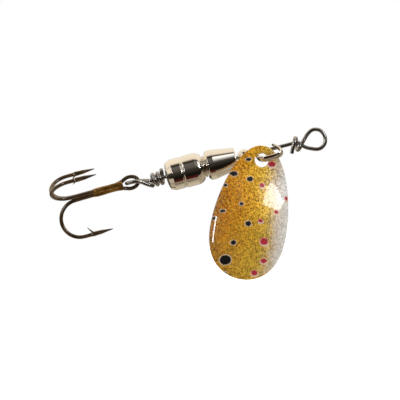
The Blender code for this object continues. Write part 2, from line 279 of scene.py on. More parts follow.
def coil(x_from, x_to, radius, start, turns, steps):
    """Points of a coil round the X axis. Angle 0 is at +Y and 90 degrees is at +Z."""
    share = np.linspace(0, 1, steps + 1)
    angle = math.radians(start) + share * turns * 2 * math.pi
    x = x_from + share * (x_to - x_from)
    return np.column_stack([x, radius * np.cos(angle), radius * np.sin(angle)])


def mesh_object(name, shape, looks=()):
    points, faces, flow = shape
    mesh = bpy.data.meshes.new(name)
    mesh.from_pydata((np.array(points) * MM).tolist(), [], faces)
    for look in looks:
        mesh.materials.append(look)
    attribute = mesh.attributes.new("flow", "FLOAT_VECTOR", "POINT")
    attribute.data.foreach_set("vector", np.array(flow, np.float32).ravel())
    obj = bpy.data.objects.new(name, mesh)
    bpy.context.scene.collection.objects.link(obj)
    return obj


def shape_by_boolean(obj, tool, operation):
    """Changes obj's mesh by tool, which is removed."""
    modifier = obj.modifiers.new("shape", "BOOLEAN")
    modifier.operation = operation
    modifier.solver = "EXACT"
    modifier.object = tool
    graph = bpy.context.evaluated_depsgraph_get()
    evaluated = obj.evaluated_get(graph)
    mesh = bpy.data.meshes.new_from_object(evaluated, preserve_all_data_layers=True, depsgraph=graph)
    obj.modifiers.clear()
    obj.data = mesh
    bpy.data.objects.remove(tool, do_unlink=True)


def finish_piece(obj, node):
    """Smooth shading, and the piece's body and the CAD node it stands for."""
    obj.data.shade_smooth()
    obj.data.set_sharp_from_angle(angle=math.radians(35))
    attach(obj, BODY_OF[node])
    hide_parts(node)
    return obj


# ---------------------------------------------------------------- material helpers


def linear(red, green, blue):
    """A screen colour, 0 to 255, as the linear colour that shaders take."""
    shares = np.array((red, green, blue)) / 255
    curved = ((shares + 0.055) / 1.055) ** 2.4
    return tuple(float(v) for v in np.where(shares > 0.04045, curved, shares / 12.92))


def node(tree, kind, inputs=None, **settings):
    """A new shader node. inputs holds numbers, colours or other nodes' outputs by socket name or number."""
    made = tree.nodes.new(kind)
    for name, value in settings.items():
        setattr(made, name, value)
    for name, value in (inputs or {}).items():
        if isinstance(value, bpy.types.NodeSocket):
            tree.links.new(value, made.inputs[name])
        else:
            made.inputs[name].default_value = value
    return made


def maths(tree, operation, *values):
    return node(tree, "ShaderNodeMath", dict(enumerate(values)), operation=operation).outputs[0]


def product(tree, first, second):
    return maths(tree, "MULTIPLY", first, second)


def vector_maths(tree, operation, *values):
    made = node(tree, "ShaderNodeVectorMath", dict(enumerate(values)), operation=operation)
    return made.outputs["Value" if operation in ("DISTANCE", "LENGTH") else "Vector"]


def mapped(tree, value, low, high, to_low=0.0, to_high=1.0, smooth=False):
    inputs = {"Value": value, "From Min": low, "From Max": high, "To Min": to_low, "To Max": to_high}
    kind = "SMOOTHSTEP" if smooth else "LINEAR"
    return node(tree, "ShaderNodeMapRange", inputs, interpolation_type=kind).outputs["Result"]


def mixed(tree, share, first, second, blend="MIX"):
    made = node(tree, "ShaderNodeMix", data_type="RGBA", blend_type=blend)
    for socket, value in ((0, share), (6, first), (7, second)):
        if isinstance(value, bpy.types.NodeSocket):
            tree.links.new(value, made.inputs[socket])
        elif socket == 0:
            made.inputs[socket].default_value = value
        else:
            made.inputs[socket].default_value = (*value, 1.0)
    return made.outputs[2]


def ramp(tree, value, stops, smooth=False):
    """A colour for each value. stops holds (value, colour), over any range of values."""
    low, high = stops[0][0], stops[-1][0]
    share = mapped(tree, value, low, high)
    made = node(tree, "ShaderNodeValToRGB", {"Fac": share})
    made.color_ramp.interpolation = "EASE" if smooth else "LINEAR"
    elements = made.color_ramp.elements
    while len(elements) < len(stops):
        elements.new(0.5)
    for element, (place, colour) in zip(elements, stops):
        element.position = (place - low) / (high - low)
        element.color = (*colour, 1.0)
    return made.outputs["Color"]


def edge(tree, value, out, full):
    """A smooth rise from 0 at out to 1 at full."""
    return mapped(tree, value, out, full, smooth=True)


def noise_value(tree, vector, scale, detail=2.0, roughness=0.5):
    inputs = {"Vector": vector, "Scale": scale, "Detail": detail, "Roughness": roughness}
    return node(tree, "ShaderNodeTexNoise", inputs).outputs["Fac"]


def bumped(tree, height, strength, distance, under=None):
    inputs = {"Height": height, "Strength": strength, "Distance": distance * MM}
    if under is not None:
        inputs["Normal"] = under
    return node(tree, "ShaderNodeBump", inputs).outputs["Normal"]


def new_look(name):
    """(material, node tree, Principled shader)"""
    look = bpy.data.materials.new(name)
    look.use_nodes = True
    return look, look.node_tree, look.node_tree.nodes["Principled BSDF"]


def plug(tree, shader, **sockets):
    """Sets or links sockets of the shader, named with _ for a space."""
    for name, value in sockets.items():
        socket = shader.inputs[name.replace("_", " ")]
        if isinstance(value, bpy.types.NodeSocket):
            tree.links.new(value, socket)
        else:
            socket.default_value = (*value, 1.0) if isinstance(value, tuple) else value


def flow_vector(tree, scale=(1.0, 1.0, 1.0)):
    flow = node(tree, "ShaderNodeAttribute", attribute_name="flow").outputs["Vector"]
    return vector_maths(tree, "MULTIPLY", flow, scale)


def place_vector(tree):
    """The piece's own coordinates, in millimetres."""
    place = node(tree, "ShaderNodeTexCoord").outputs["Object"]
    return vector_maths(tree, "MULTIPLY", place, (1 / MM, 1 / MM, 1 / MM))


# ---------------------------------------------------------------- materials


def nickel_look(name, streaks):
    """Polished nickel plate. streaks scales the flow vector, so that fine polishing lines run one way."""
    look, tree, shader = new_look(name)
    place = place_vector(tree)
    lines = noise_value(tree, flow_vector(tree, streaks), 1.0, 4.0, 0.7)
    cloud = noise_value(tree, place, 0.35, 3.0)
    specks = noise_value(tree, place, 9.0, 2.0, 0.6)
    tone = mapped(tree, cloud, 0.3, 0.7)
    base = mixed(tree, tone, (0.90, 0.855, 0.785), (0.93, 0.895, 0.83))
    worn = mapped(tree, specks, 0.62, 0.75)
    base = mixed(tree, product(tree, worn, 0.25), base, (0.74, 0.68, 0.59))
    duller = product(tree, worn, 0.06)
    rough = maths(tree, "ADD", mapped(tree, lines, 0.3, 0.75, 0.05, 0.11), duller)
    normal = bumped(tree, lines, 0.12, 0.004)
    normal = bumped(tree, cloud, 0.10, 0.03, normal)
    plug(tree, shader, Base_Color=base, Roughness=rough, Normal=normal, Metallic=1.0)
    return look


def wire_look():
    """Bare drawn stainless wire, with die lines along it and a darker oxide in patches."""
    look, tree, shader = new_look("drawn_steel")
    place = place_vector(tree)
    lines = noise_value(tree, flow_vector(tree, (0.06, 3.0, 3.0)), 1.0, 3.0, 0.5)
    cloud = noise_value(tree, place, 0.6, 3.0, 0.5)
    base = mixed(tree, mapped(tree, cloud, 0.35, 0.65), (0.38, 0.375, 0.37), (0.48, 0.475, 0.47))
    base = mixed(tree, mapped(tree, lines, 0.5, 0.8, 0.0, 0.25), base, (0.26, 0.25, 0.24))
    oxide = mapped(tree, cloud, 0.4, 0.7, 0.0, 0.04)
    rough = maths(tree, "ADD", mapped(tree, lines, 0.3, 0.7, 0.17, 0.23), oxide)
    normal = bumped(tree, lines, 0.03, 0.006)
    plug(tree, shader, Base_Color=base, Roughness=rough, Normal=normal, Metallic=1.0)
    return look


def bronze_look():
    """Bronzed hook wire under clear lacquer: nearly black where it is thick and brown where it is thin."""
    look, tree, shader = new_look("hook_bronze")
    place = place_vector(tree)
    lines = noise_value(tree, flow_vector(tree, (0.15, 2.5, 2.5)), 1.0, 2.0, 0.5)
    cloud = noise_value(tree, place, 0.4, 2.0, 0.5)
    tone = maths(tree, "ADD", product(tree, cloud, 0.65), product(tree, lines, 0.35))
    stops = ((0.36, linear(60, 48, 35)), (0.5, linear(88, 70, 50)), (0.64, linear(116, 93, 66)))
    base = ramp(tree, tone, stops)
    rough = mapped(tree, tone, 0.3, 0.7, 0.22, 0.13)
    normal = bumped(tree, tone, 0.04, 0.008)
    plug(tree, shader, Base_Color=base, Roughness=rough, Normal=normal, Metallic=0.78)
    plug(tree, shader, Coat_Weight=1.0, Coat_Roughness=0.04)
    return look


def braze_look():
    """Golden brown brazing, mottled and slightly pitted."""
    look, tree, shader = new_look("braze_metal")
    place = place_vector(tree)
    cloud = noise_value(tree, place, 0.9, 4.0, 0.6)
    grain = noise_value(tree, place, 5.0, 3.0, 0.6)
    tone = maths(tree, "ADD", product(tree, cloud, 0.7), product(tree, grain, 0.3))
    stops = (
        (0.34, linear(84, 56, 20)),
        (0.46, linear(128, 90, 36)),
        (0.56, linear(160, 120, 56)),
        (0.68, linear(190, 156, 96)),
    )
    base = ramp(tree, tone, stops)
    rough = mapped(tree, grain, 0.3, 0.7, 0.26, 0.38)
    normal = bumped(tree, tone, 0.25, 0.04)
    plug(tree, shader, Base_Color=base, Roughness=rough, Normal=normal, Metallic=0.9)
    plug(tree, shader, Coat_Weight=0.3, Coat_Roughness=0.2)
    return look


# Spots of the blade's paint, as (along, across, half width, half height) from the hole.
BLACK_SPOTS = (
    (0.4, -2.8, 0.62, 0.34),
    (4.0, -5.3, 0.80, 0.50),
    (4.4, -1.8, 0.64, 0.48),
    (6.7, -6.6, 0.42, 0.34),
    (9.9, -2.8, 0.46, 0.34),
    (12.1, -6.3, 0.58, 0.34),
    (13.9, -7.6, 0.45, 0.36),
    (13.7, -0.7, 0.65, 0.54),
    (18.1, -3.0, 0.60, 0.46),
    (21.9, -3.8, 1.18, 1.00),
    (24.4, -3.1, 0.24, 0.16),
)
CRIMSON_SPOTS = (
    (0.4, 2.2, 0.76, 0.54),
    (5.2, 0.9, 0.54, 0.42),
    (6.8, 6.6, 0.34, 0.40),
    (10.1, 4.8, 0.46, 0.36),
    (12.6, 1.7, 0.46, 0.32),
    (16.6, 3.3, 0.84, 0.70),
    (20.5, 4.1, 0.66, 0.46),
    (23.3, 2.8, 0.68, 0.50),
)
SPOT_LEAN = BLADE_LEAN - CAMERA_ROLL


def spot_reach(tree, place, spots):
    """How far a point is outside the nearest spot's edge, in millimetres. It is negative inside a spot."""
    nearest = None
    for along, across, wide, high in spots:
        centred = vector_maths(tree, "SUBTRACT", place, (along, across, 0.0))
        inputs = {"Vector": centred, "Angle": -SPOT_LEAN}
        turned = node(tree, "ShaderNodeVectorRotate", inputs, rotation_type="Z_AXIS")
        shrunk = vector_maths(tree, "MULTIPLY", turned.outputs["Vector"], (wide / high, 1.0, 0.0))
        reach = maths(tree, "SUBTRACT", vector_maths(tree, "LENGTH", shrunk), wide)
        nearest = reach if nearest is None else maths(tree, "MINIMUM", nearest, reach)
    return nearest


def paint_look():
    """Glitter paint, fading from amber through straw to silver, with haloed spots, under clear lacquer.
    Painted shade darkens it to brown along its left edge.
    """
    look, tree, shader = new_look("blade_paint")
    flow = flow_vector(tree, (1.0, 1.0, 0.0))
    parts = node(tree, "ShaderNodeSeparateXYZ", {"Vector": flow}).outputs
    along, across = parts["X"], parts["Y"]

    # Flakes: cells of about a quarter of a millimetre with finer ones between, each with its own shade.
    cells = node(tree, "ShaderNodeTexVoronoi", {"Vector": flow, "Scale": 3.6, "Randomness": 1.0})
    fine = node(tree, "ShaderNodeTexVoronoi", {"Vector": flow, "Scale": 7.0, "Randomness": 1.0})
    flake = node(tree, "ShaderNodeSeparateColor", {"Color": cells.outputs["Color"]}).outputs
    grain = node(tree, "ShaderNodeSeparateColor", {"Color": fine.outputs["Color"]}).outputs
    coarse_shade = product(tree, flake["Red"], 0.5)
    fine_shade = product(tree, grain["Red"], 0.5)
    shade = maths(tree, "ADD", coarse_shade, fine_shade)

    # The fade runs across the blade: silver starts at its right side, and lower down a little further out.
    border = mapped(tree, along, 4.0, 10.0, 2.2, 3.6, smooth=True)
    border = maths(tree, "ADD", border, mapped(tree, along, 12.0, 17.0, 0.0, 0.4, smooth=True))
    from_edge = maths(tree, "SUBTRACT", across, border)
    sprayed = product(tree, maths(tree, "SUBTRACT", grain["Green"], 0.5), 1.5)
    cloud = product(tree, maths(tree, "SUBTRACT", noise_value(tree, flow, 0.45, 3.0), 0.5), 1.6)
    fade = maths(tree, "ADD", from_edge, maths(tree, "ADD", sprayed, cloud))
    # The first stop is painted shade: it darkens the amber to brown along the blade's left edge, the side
    # away from the key light.
    fade_and_left_shade = (
        (-11.6, linear(110, 54, 2)),
        (-9.4, linear(178, 110, 4)),
        (-6.0, linear(192, 130, 8)),
        (-3.0, linear(196, 148, 18)),
        (-0.9, linear(198, 162, 54)),
        (0.1, linear(198, 173, 114)),
        (1.1, linear(190, 173, 146)),
        (2.4, linear(196, 188, 178)),
        (3.8, linear(206, 207, 205)),
    )
    base = ramp(tree, fade, fade_and_left_shade)
    lower_right = maths(tree, "ADD", along, product(tree, across, 0.9))
    olive = mapped(tree, lower_right, 8.0, 22.0, 0.0, 0.6)
    warm = mapped(tree, fade, 0.0, 1.6, 1.0, 0.0)
    base = mixed(tree, product(tree, olive, warm), base, linear(160, 134, 44))
    contrast = mapped(tree, warm, 0.0, 1.0, 0.40, 1.05)
    swing = product(tree, maths(tree, "SUBTRACT", shade, 0.5), contrast)
    lively = maths(tree, "ADD", product(tree, swing, 2.0), 1.0)
    grey = node(tree, "ShaderNodeCombineColor", {0: lively, 1: lively, 2: lively}).outputs[0]
    base = mixed(tree, 1.0, base, grey, "MULTIPLY")
    hue = mapped(tree, flake["Green"], 0.45, 1.0, 0.0, 0.5)
    base = mixed(tree, product(tree, hue, warm), base, linear(226, 184, 60))
    rust = mapped(tree, flake["Blue"], 0.5, 1.0, 0.0, 0.35)
    base = mixed(tree, product(tree, rust, warm), base, linear(170, 98, 6))

    # Spots, each in a pale ring where the paint was masked. The crimson ones' rings lie a little lower.
    wobble = node(tree, "ShaderNodeTexNoise", {"Vector": flow, "Scale": 2.2, "Detail": 2.0}).outputs["Color"]
    wobble = vector_maths(tree, "SUBTRACT", wobble, (0.5, 0.5, 0.5))
    wobble = vector_maths(tree, "MULTIPLY", wobble, (0.5, 0.5, 0.0))
    place = vector_maths(tree, "ADD", flow, wobble)
    black = spot_reach(tree, place, BLACK_SPOTS)
    crimson = spot_reach(tree, place, CRIMSON_SPOTS)
    lower = spot_reach(tree, vector_maths(tree, "SUBTRACT", place, (0.22, 0.10, 0.0)), CRIMSON_SPOTS)
    rings = maths(tree, "MINIMUM", black, maths(tree, "SUBTRACT", lower, 0.05))
    ring = mapped(tree, rings, 0.08, 0.27, 1.0, 0.0, smooth=True)
    base = mixed(tree, product(tree, ring, 0.78), base, linear(208, 190, 166))
    blush = mapped(tree, crimson, 0.0, 0.28, 0.6, 0.0)
    base = mixed(tree, blush, base, linear(206, 130, 140))
    base = mixed(tree, mapped(tree, crimson, -0.08, 0.06, 1.0, 0.0, smooth=True), base, linear(146, 0, 32))
    base = mixed(tree, mapped(tree, black, -0.08, 0.08, 1.0, 0.0, smooth=True), base, linear(12, 10, 8))

    ink = mapped(tree, maths(tree, "MINIMUM", black, crimson), -0.05, 0.1, 1.0, 0.0)
    metal = mapped(tree, ink, 0.0, 1.0, 0.35, 0.0)
    tilt = vector_maths(tree, "SUBTRACT", cells.outputs["Color"], (0.5, 0.5, 0.5))
    tilt = vector_maths(tree, "MULTIPLY", tilt, (0.22, 0.22, 0.22))
    facing = node(tree, "ShaderNodeNewGeometry").outputs["Normal"]
    normal = vector_maths(tree, "NORMALIZE", vector_maths(tree, "ADD", facing, tilt))
    rough = mapped(tree, grain["Blue"], 0.0, 1.0, 0.30, 0.50)
    lacquer = bumped(tree, noise_value(tree, flow, 0.8, 2.0), 0.10, 0.05)
    plug(tree, shader, Base_Color=base, Roughness=rough, Metallic=metal, Normal=normal, Coat_Normal=lacquer)
    plug(tree, shader, Coat_Weight=1.0, Coat_Roughness=0.05)
    return look


# ---------------------------------------------------------------- pieces


def shaft_path():
    """The one wire, from the cut end at the rear wraps, round both loops, to the cut end at the front."""
    rear_tag = [(-32.58, 0.2, 1.68), (-32.62, 0.75, 1.15)]
    wraps = coil(-32.7, -35.15, 1.15, 12, -2.28, 128)
    end, rise = TREBLE_PIVOT[0], TREBLE_PIVOT[2]
    half = 1.45
    rear_loop = [
        (-36.2, -0.62, -0.55),
        (-37.3, -1.12, 0.25),
        (-38.3, -half, 0.62),
        (end + half * 0.45, -half * 0.83, rise),
        (end, 0.0, rise),
        (end + half * 0.45, half * 0.83, rise),
        (-38.3, half, 0.66),
        (-37.2, 1.05, 0.52),
        (-36.1, 0.35, 0.22),
        (-35.3, 0.04, 0.0),
        (-34.6, 0.0, 0.0),
    ]
    eye = [
        (-4.2, 0.0, 0.0),
        (-3.6, 0.05, -0.05),
        (-2.75, 0.32, -1.05),
        (-1.5, 0.18, -1.88),
        (0.3, 0.0, -2.48),
        (1.7, 0.0, -1.8),
        (2.15, 0.0, -0.25),
        (1.5, 0.0, 1.2),
        (0.1, 0.0, 1.7),
        (-1.15, -0.20, 1.15),
        (-2.0, -0.48, 0.35),
        (-2.7, -0.75, -0.35),
        (-3.35, -0.80, -1.1),
        (-3.95, -0.10, -1.6),
        (-4.12, 0.80, -1.0),
        (-3.92, 1.05, -0.1),
        (-3.75, 0.60, 0.75),
        (-3.95, -0.40, 0.93),
        (-4.25, -1.05, 0.35),
        (-4.7, -1.15, -0.5),
        (-5.15, -1.0, -1.35),
        (-5.45, -0.9, -2.02),
    ]
    tag = smooth_path(rear_tag + [wraps[0]], 8)[:-1]
    loop = smooth_path([wraps[-1]] + rear_loop, 12)[1:]
    eye = smooth_path(eye, 12)
    straight = np.linspace(loop[-1], eye[0], 60)[1:-1]
    return np.vstack([tag, wraps, loop, straight, eye])


def build_shaft(look):
    path, radii = with_eased_ends(shaft_path(), SHAFT_R, 0.14)
    finish_piece(mesh_object("wire_shaft", tube(path, radii, radii, 28), [look]), "shaft_wire")


def build_body(look):
    """A domed front, a shallow groove between two bands, a chamfer and a rounded rear."""
    front, rear = BODY_FRONT_X, BODY_REAR_X
    groove_front, floor_front, floor_rear, groove_rear = GROOVE_X
    front_dome = ((front - 1.45, 1.3), (1.8, 1.98))
    rear_dome = ((rear + 0.75, 0.0), (0.75, 3.03))
    profile = [(front, BORE_R)]
    profile += arc(*front_dome, 36, 81, 24)
    profile += [(front - 1.4, BODY_R), (groove_front, BODY_R)]
    front_lip, rear_lip = GROOVE_R + 0.06, GROOVE_R + 0.04
    profile += arc((groove_front, front_lip), (groove_front - floor_front, BODY_R - front_lip), 97, 172, 10)
    profile += [(floor_front, GROOVE_R), (floor_rear, GROOVE_R)]
    profile += arc((groove_rear, rear_lip), (floor_rear - groove_rear, REAR_BAND_R - rear_lip), 8, 83, 10)
    profile += [(groove_rear, REAR_BAND_R), (REAR_BAND_END_X, REAR_BAND_R)]
    profile += arc(*rear_dome, 110, 160, 24)
    profile += [(rear, BORE_R)]
    finish_piece(mesh_object("turned_body", lathe(profile), [look]), "body_weight")


def build_neck(look):
    """Two small beads side by side, turned as one ring. Its collar all but reaches the cone and the body."""
    front, rear = NECK_FRONT_X, NECK_REAR_X
    gap = 0.02
    half = (front - rear) / 4
    low = NECK_R - 0.30
    profile = [(CONE_REAR_X - gap, BORE_R), (CONE_REAR_X - gap, low), (front, low)]
    for middle in (front - half, rear + half):
        profile += arc((middle, low), (half, NECK_R - low), 4, 176, 16)
    profile += [(rear, low), (BODY_FRONT_X + gap, low), (BODY_FRONT_X + gap, BORE_R)]
    finish_piece(mesh_object("neck_beads", lathe(profile, ease=0.03), [look]), "neck_ring")


def build_cone(look):
    front, rear = CONE_FRONT_X, CONE_REAR_X
    band_front, band_rear = CONE_BAND_X
    rounding = 0.3
    chamfer = 0.6
    profile = [(front, BORE_R)]
    profile += arc((front - rounding, CONE_FRONT_R - rounding), (rounding, rounding), 0, 80, 12)
    profile += [(band_front, CONE_R), (band_rear, CONE_R), (rear, CONE_R - chamfer), (rear, BORE_R)]
    finish_piece(mesh_object("bell_shell", lathe(profile), [look]), "bell_cone")


def build_bead(look):
    at_bore = math.degrees(math.asin(BORE_R / BEAD_R))
    profile = arc((BEAD_X, 0.0), (BEAD_R, BEAD_R), at_bore, 180 - at_bore, 64)
    finish_piece(mesh_object("round_bead", lathe(profile, 96), [look]), "bearing_bead")


def clevis_place(x, depth):
    """A point of the clevis' own plane, depth below the shaft's axis."""
    return (x, -depth * math.sin(CLEVIS_SPIN), -depth * math.cos(CLEVIS_SPIN))


def build_clevis(look):
    """A stirrup of flattened wire. Each end is a wide ear, bored for the shaft. The front ear is twisted."""
    front, rear = CLEVIS_FRONT_X, CLEVIS_REAR_X
    keys = [
        (rear + 0.15, -1.1),
        (rear, 0.0),
        (rear + 0.05, 1.0),
        (rear + 0.35, 2.1),
        (rear + 1.3, CLEVIS_DEPTH),
        (rear + 2.4, CLEVIS_DEPTH + 0.1),
        (front - 0.55, CLEVIS_DEPTH),
        (front + 0.45, 2.15),
        (front + 0.5, 1.1),
        (front, 0.0),
        (front - 0.75, -1.35),
    ]
    path = smooth_path([clevis_place(*key) for key in keys], 16)
    share = np.linspace(0, 1, len(path))
    to_end = np.minimum(share, 1 - share)
    ear = smooth_step((EAR_SHARE - to_end) / (0.75 * EAR_SHARE))
    tip_share = 0.085
    tip_width = 0.12
    rounding = np.sqrt(1 - (1 - np.clip(to_end / tip_share, 0, 1)) ** 2)
    rounding = tip_width + (1 - tip_width) * rounding
    wide = (CLEVIS_WIDTH + (CLEVIS_EAR_WIDTH - CLEVIS_WIDTH) * ear) / 2 * rounding
    thick = (CLEVIS_THICKNESS + (CLEVIS_EAR_THICKNESS - CLEVIS_THICKNESS) * ear) / 2
    twist_from, twist_over = 0.72, 0.2
    twist = smooth_step((share - twist_from) / twist_over)[:, None]
    across = np.array((0.0, -math.cos(CLEVIS_SPIN), math.sin(CLEVIS_SPIN)))
    shape = tube(path, wide, thick, 40, across * (1 - twist) + FRONT_EAR_ACROSS * twist, square=0.8)
    clevis = mesh_object("clevis_stirrup", shape, [look])
    line = [(rear - 2, 0.0, 0.0), (front + 2, 0.0, 0.0)]
    bore = mesh_object("clevis_bore", tube(line, CLEVIS_EAR_BORE_R, CLEVIS_EAR_BORE_R, 48), [look])
    shape_by_boolean(clevis, bore, "DIFFERENCE")
    finish_piece(clevis, "clevis")


def blade_outline(count):
    """The egg-shaped outline, as (along, across) from the hole, with along pointing down the blade."""
    turn = np.arange(count) * 2 * math.pi / count
    along = BLADE_LENGTH / 2 * (1 - np.cos(turn)) - BLADE_TOP
    ends = np.cos(turn)
    across = np.sin(turn) * (BLADE_HALF_WIDTH - BLADE_TAPER * ends + BLADE_FULLNESS * ends**2)
    return np.column_stack([along, across])


def outline_reach(centre, angles):
    """How far the outline is from a point inside it, towards each angle from the along direction."""
    outline = blade_outline(1440) - centre
    toward = np.arctan2(outline[:, 1], outline[:, 0])
    order = np.argsort(toward)
    away = np.linalg.norm(outline, axis=1)
    return np.interp(angles, toward[order], away[order], period=2 * math.pi)


def blade_height(places):
    """How far the cupped sheet stands out from the blade's plane."""
    middle = np.array((BLADE_LENGTH / 2 - BLADE_TOP + BLADE_CUP_BELOW, 0.0))
    away = places - middle
    reach = outline_reach(middle, np.arctan2(away[..., 1], away[..., 0]))
    share = np.clip(np.linalg.norm(away, axis=-1) / reach, 0, 1)
    rise = smooth_step((places[..., 0] - BLADE_RISE[0]) / BLADE_RISE[1])
    return BLADE_CUP * (1 - share**BLADE_CUP_POWER) * rise


def blade_space(places, out):
    """Points of the blade in the lure's frame. out is the height above the blade's plane."""
    down = np.array((0.0, 0.0, -1.0))
    right = np.cross(BLADE_OUTWARD, down)
    long_axis = down * math.cos(BLADE_LEAN) - right * math.sin(BLADE_LEAN)
    cross_axis = right * math.cos(BLADE_LEAN) + down * math.sin(BLADE_LEAN)
    flat = places[..., :1] * long_axis + places[..., 1:] * cross_axis
    return BLADE_HOLE + flat + out[..., None] * BLADE_OUTWARD


def build_blade(paint, plate):
    """A cupped sheet with a punched hole: rings from hole to rim on both faces, joined by round edges."""
    sides = 224
    angles = np.arange(sides) * 2 * math.pi / sides
    toward = np.column_stack([np.cos(angles), np.sin(angles)])
    reach = outline_reach(np.zeros(2), angles)
    rim = toward * reach[:, None]
    along_rim = np.roll(rim, -1, axis=0) - np.roll(rim, 1, axis=0)
    rim_out = unit(np.column_stack([along_rim[:, 1], -along_rim[:, 0]]))
    half = BLADE_THICKNESS / 2
    hole_edge = 0.13
    rim_edge = 0.22
    inner = toward * (BLADE_HOLE_R + hole_edge)
    outer = rim - rim_out * rim_edge
    rings = [(inner + (outer - inner) * share, half, 0) for share in np.linspace(0, 1, 64)]
    for turn in np.radians(np.linspace(90, -90, 11))[1:-1]:
        rings.append((outer + rim_out * rim_edge * math.cos(turn), half * math.sin(turn), 0))
    rings += [(inner + (outer - inner) * share, -half, 1) for share in np.linspace(1, 0, 64)]
    for turn in np.radians(np.linspace(-90, 90, 7))[1:-1]:
        inset = hole_edge * math.cos(turn)
        rings.append((inner - toward * inset, half * math.sin(turn), 1 if turn < 0 else 0))
    places = np.array([ring[0] for ring in rings])
    out = blade_height(places) + np.array([ring[1] for ring in rings])[:, None]
    points = blade_space(places, out)
    count = len(rings)
    faces = grid_faces(count, sides)
    last = (count - 1) * sides
    faces += [(last + s, last + (s + 1) % sides, (s + 1) % sides, s) for s in range(sides)]
    flow = np.concatenate([places, np.zeros((*places.shape[:2], 1))], axis=-1)
    blade = mesh_object("spinner_blade", (points.reshape(-1, 3), faces, flow.reshape(-1, 3)), [paint, plate])
    back = np.repeat([ring[2] for ring in rings], sides).astype(np.int32)
    blade.data.polygons.foreach_set("material_index", back)
    finish_piece(blade, "blade")


def treble_space(places):
    """Points of the treble in the lure's frame, from (back, y, z), with back the distance behind its eye."""
    back, y, z = np.array(places, float).T
    x = -back * math.cos(TREBLE_PITCH) - z * math.sin(TREBLE_PITCH)
    z = z * math.cos(TREBLE_PITCH) - back * math.sin(TREBLE_PITCH)
    turned_x = x * math.cos(TREBLE_YAW) - y * math.sin(TREBLE_YAW)
    turned_y = y * math.cos(TREBLE_YAW) + x * math.sin(TREBLE_YAW)
    return TREBLE_EYE + np.column_stack([turned_x, turned_y, z])


def hook_places(angle, set_back):
    """One hook's wire as (back, y, z): its strand of the shank, a half-circle bend and a straight point."""
    start = SHANK_LENGTH + set_back
    bend_middle = HOOK_REACH - HOOK_BEND_R
    spots = [(BRAZE_FROM + 1.0, STRAND_OUT), (BRAZE_TO - 1.5, STRAND_OUT), (BRAZE_TO + 1.5, STRAND_OUT)]
    for turn in np.linspace(0, math.pi, 13):
        spots.append((start + HOOK_BEND_R * math.sin(turn), bend_middle - HOOK_BEND_R * math.cos(turn)))
    for share in POINT_SHARES:
        spots.append((start - POINT_LENGTH * share, HOOK_REACH))
    return [(back, out * math.cos(angle), out * math.sin(angle)) for back, out in spots]


def eye_places():
    """The treble's eye as (back, y, z), in the plane of the two strands that run into it."""
    pair_angle = NEAR_HOOK - math.pi / 2
    ring = []
    for turn in np.radians(np.linspace(-125, 125, 15)):
        side = TREBLE_EYE_TALL * math.sin(turn)
        back = -TREBLE_EYE_LONG * math.cos(turn)
        ring.append((back, side * math.cos(pair_angle), side * math.sin(pair_angle)))
    return ring


def hook_shape(places, radii):
    steps = 10
    path = smooth_path(places, steps)
    radii = np.interp(np.arange(len(path)) / steps, np.arange(len(radii)), radii)
    path, radii = with_eased_ends(path, radii, 0.03)
    return tube(treble_space(path), radii, radii, 24)


def add_barb(hook, angle, set_back, look):
    """A thin spike, cut up from the inner side of the point and leaning back to the bend."""
    root = SHANK_LENGTH + set_back - POINT_LENGTH * 0.28
    spots = ((root - 0.5, HOOK_REACH - 0.1), (root, HOOK_REACH - 0.6), (root + 0.75, HOOK_REACH - 1.7))
    keys = [(back, out * math.cos(angle), out * math.sin(angle)) for back, out in spots]
    path = smooth_path(keys, 8)
    share = np.linspace(0, 1, len(path))
    wide = np.interp(share, (0, 0.5, 1), (0.22, 0.24, 0.05))
    thick = np.interp(share, (0, 0.5, 1), (0.22, 0.19, 0.05))
    shape_by_boolean(hook, mesh_object("barb", tube(treble_space(path), wide, thick, 16), [look]), "UNION")


def build_double_hook(look):
    """One wire: the lower hook, the eye and the upper hook."""
    lower = hook_places(LOWER_HOOK, LOWER_SET_BACK)
    upper = hook_places(UPPER_HOOK, UPPER_SET_BACK)
    ring = eye_places()
    radii = np.full(len(upper), HOOK_R)
    radii[-len(POINT_TAPER) :] = POINT_TAPER
    radii = np.concatenate([radii[::-1], np.full(len(ring), HOOK_R), radii])
    hook = mesh_object("hook_pair", hook_shape(lower[::-1] + ring + upper, radii), [look])
    add_barb(hook, LOWER_HOOK, LOWER_SET_BACK, look)
    add_barb(hook, UPPER_HOOK, UPPER_SET_BACK, look)
    finish_piece(hook, "double_hook")


def build_single_hook(look):
    places = hook_places(NEAR_HOOK, NEAR_SET_BACK)
    radii = np.full(len(places), HOOK_R)
    radii[-len(POINT_TAPER) :] = POINT_TAPER
    hook = mesh_object("hook_third", hook_shape(places, radii), [look])
    add_barb(hook, NEAR_HOOK, NEAR_SET_BACK, look)
    finish_piece(hook, "single_hook")


def strand_centres(back):
    """Where the three strands of the shank are, as (y, z), at a distance behind the eye."""
    ring = eye_places()
    found = []
    ends = ((ring[0], LOWER_HOOK, LOWER_SET_BACK), (ring[-1], UPPER_HOOK, UPPER_SET_BACK))
    for side, angle, set_back in ends:
        path = smooth_path([side] + hook_places(angle, set_back)[:3], 10)
        found.append([np.interp(back, path[:, 0], path[:, axis]) for axis in (1, 2)])
    found.append([STRAND_OUT * math.cos(NEAR_HOOK), STRAND_OUT * math.sin(NEAR_HOOK)])
    return np.array(found)


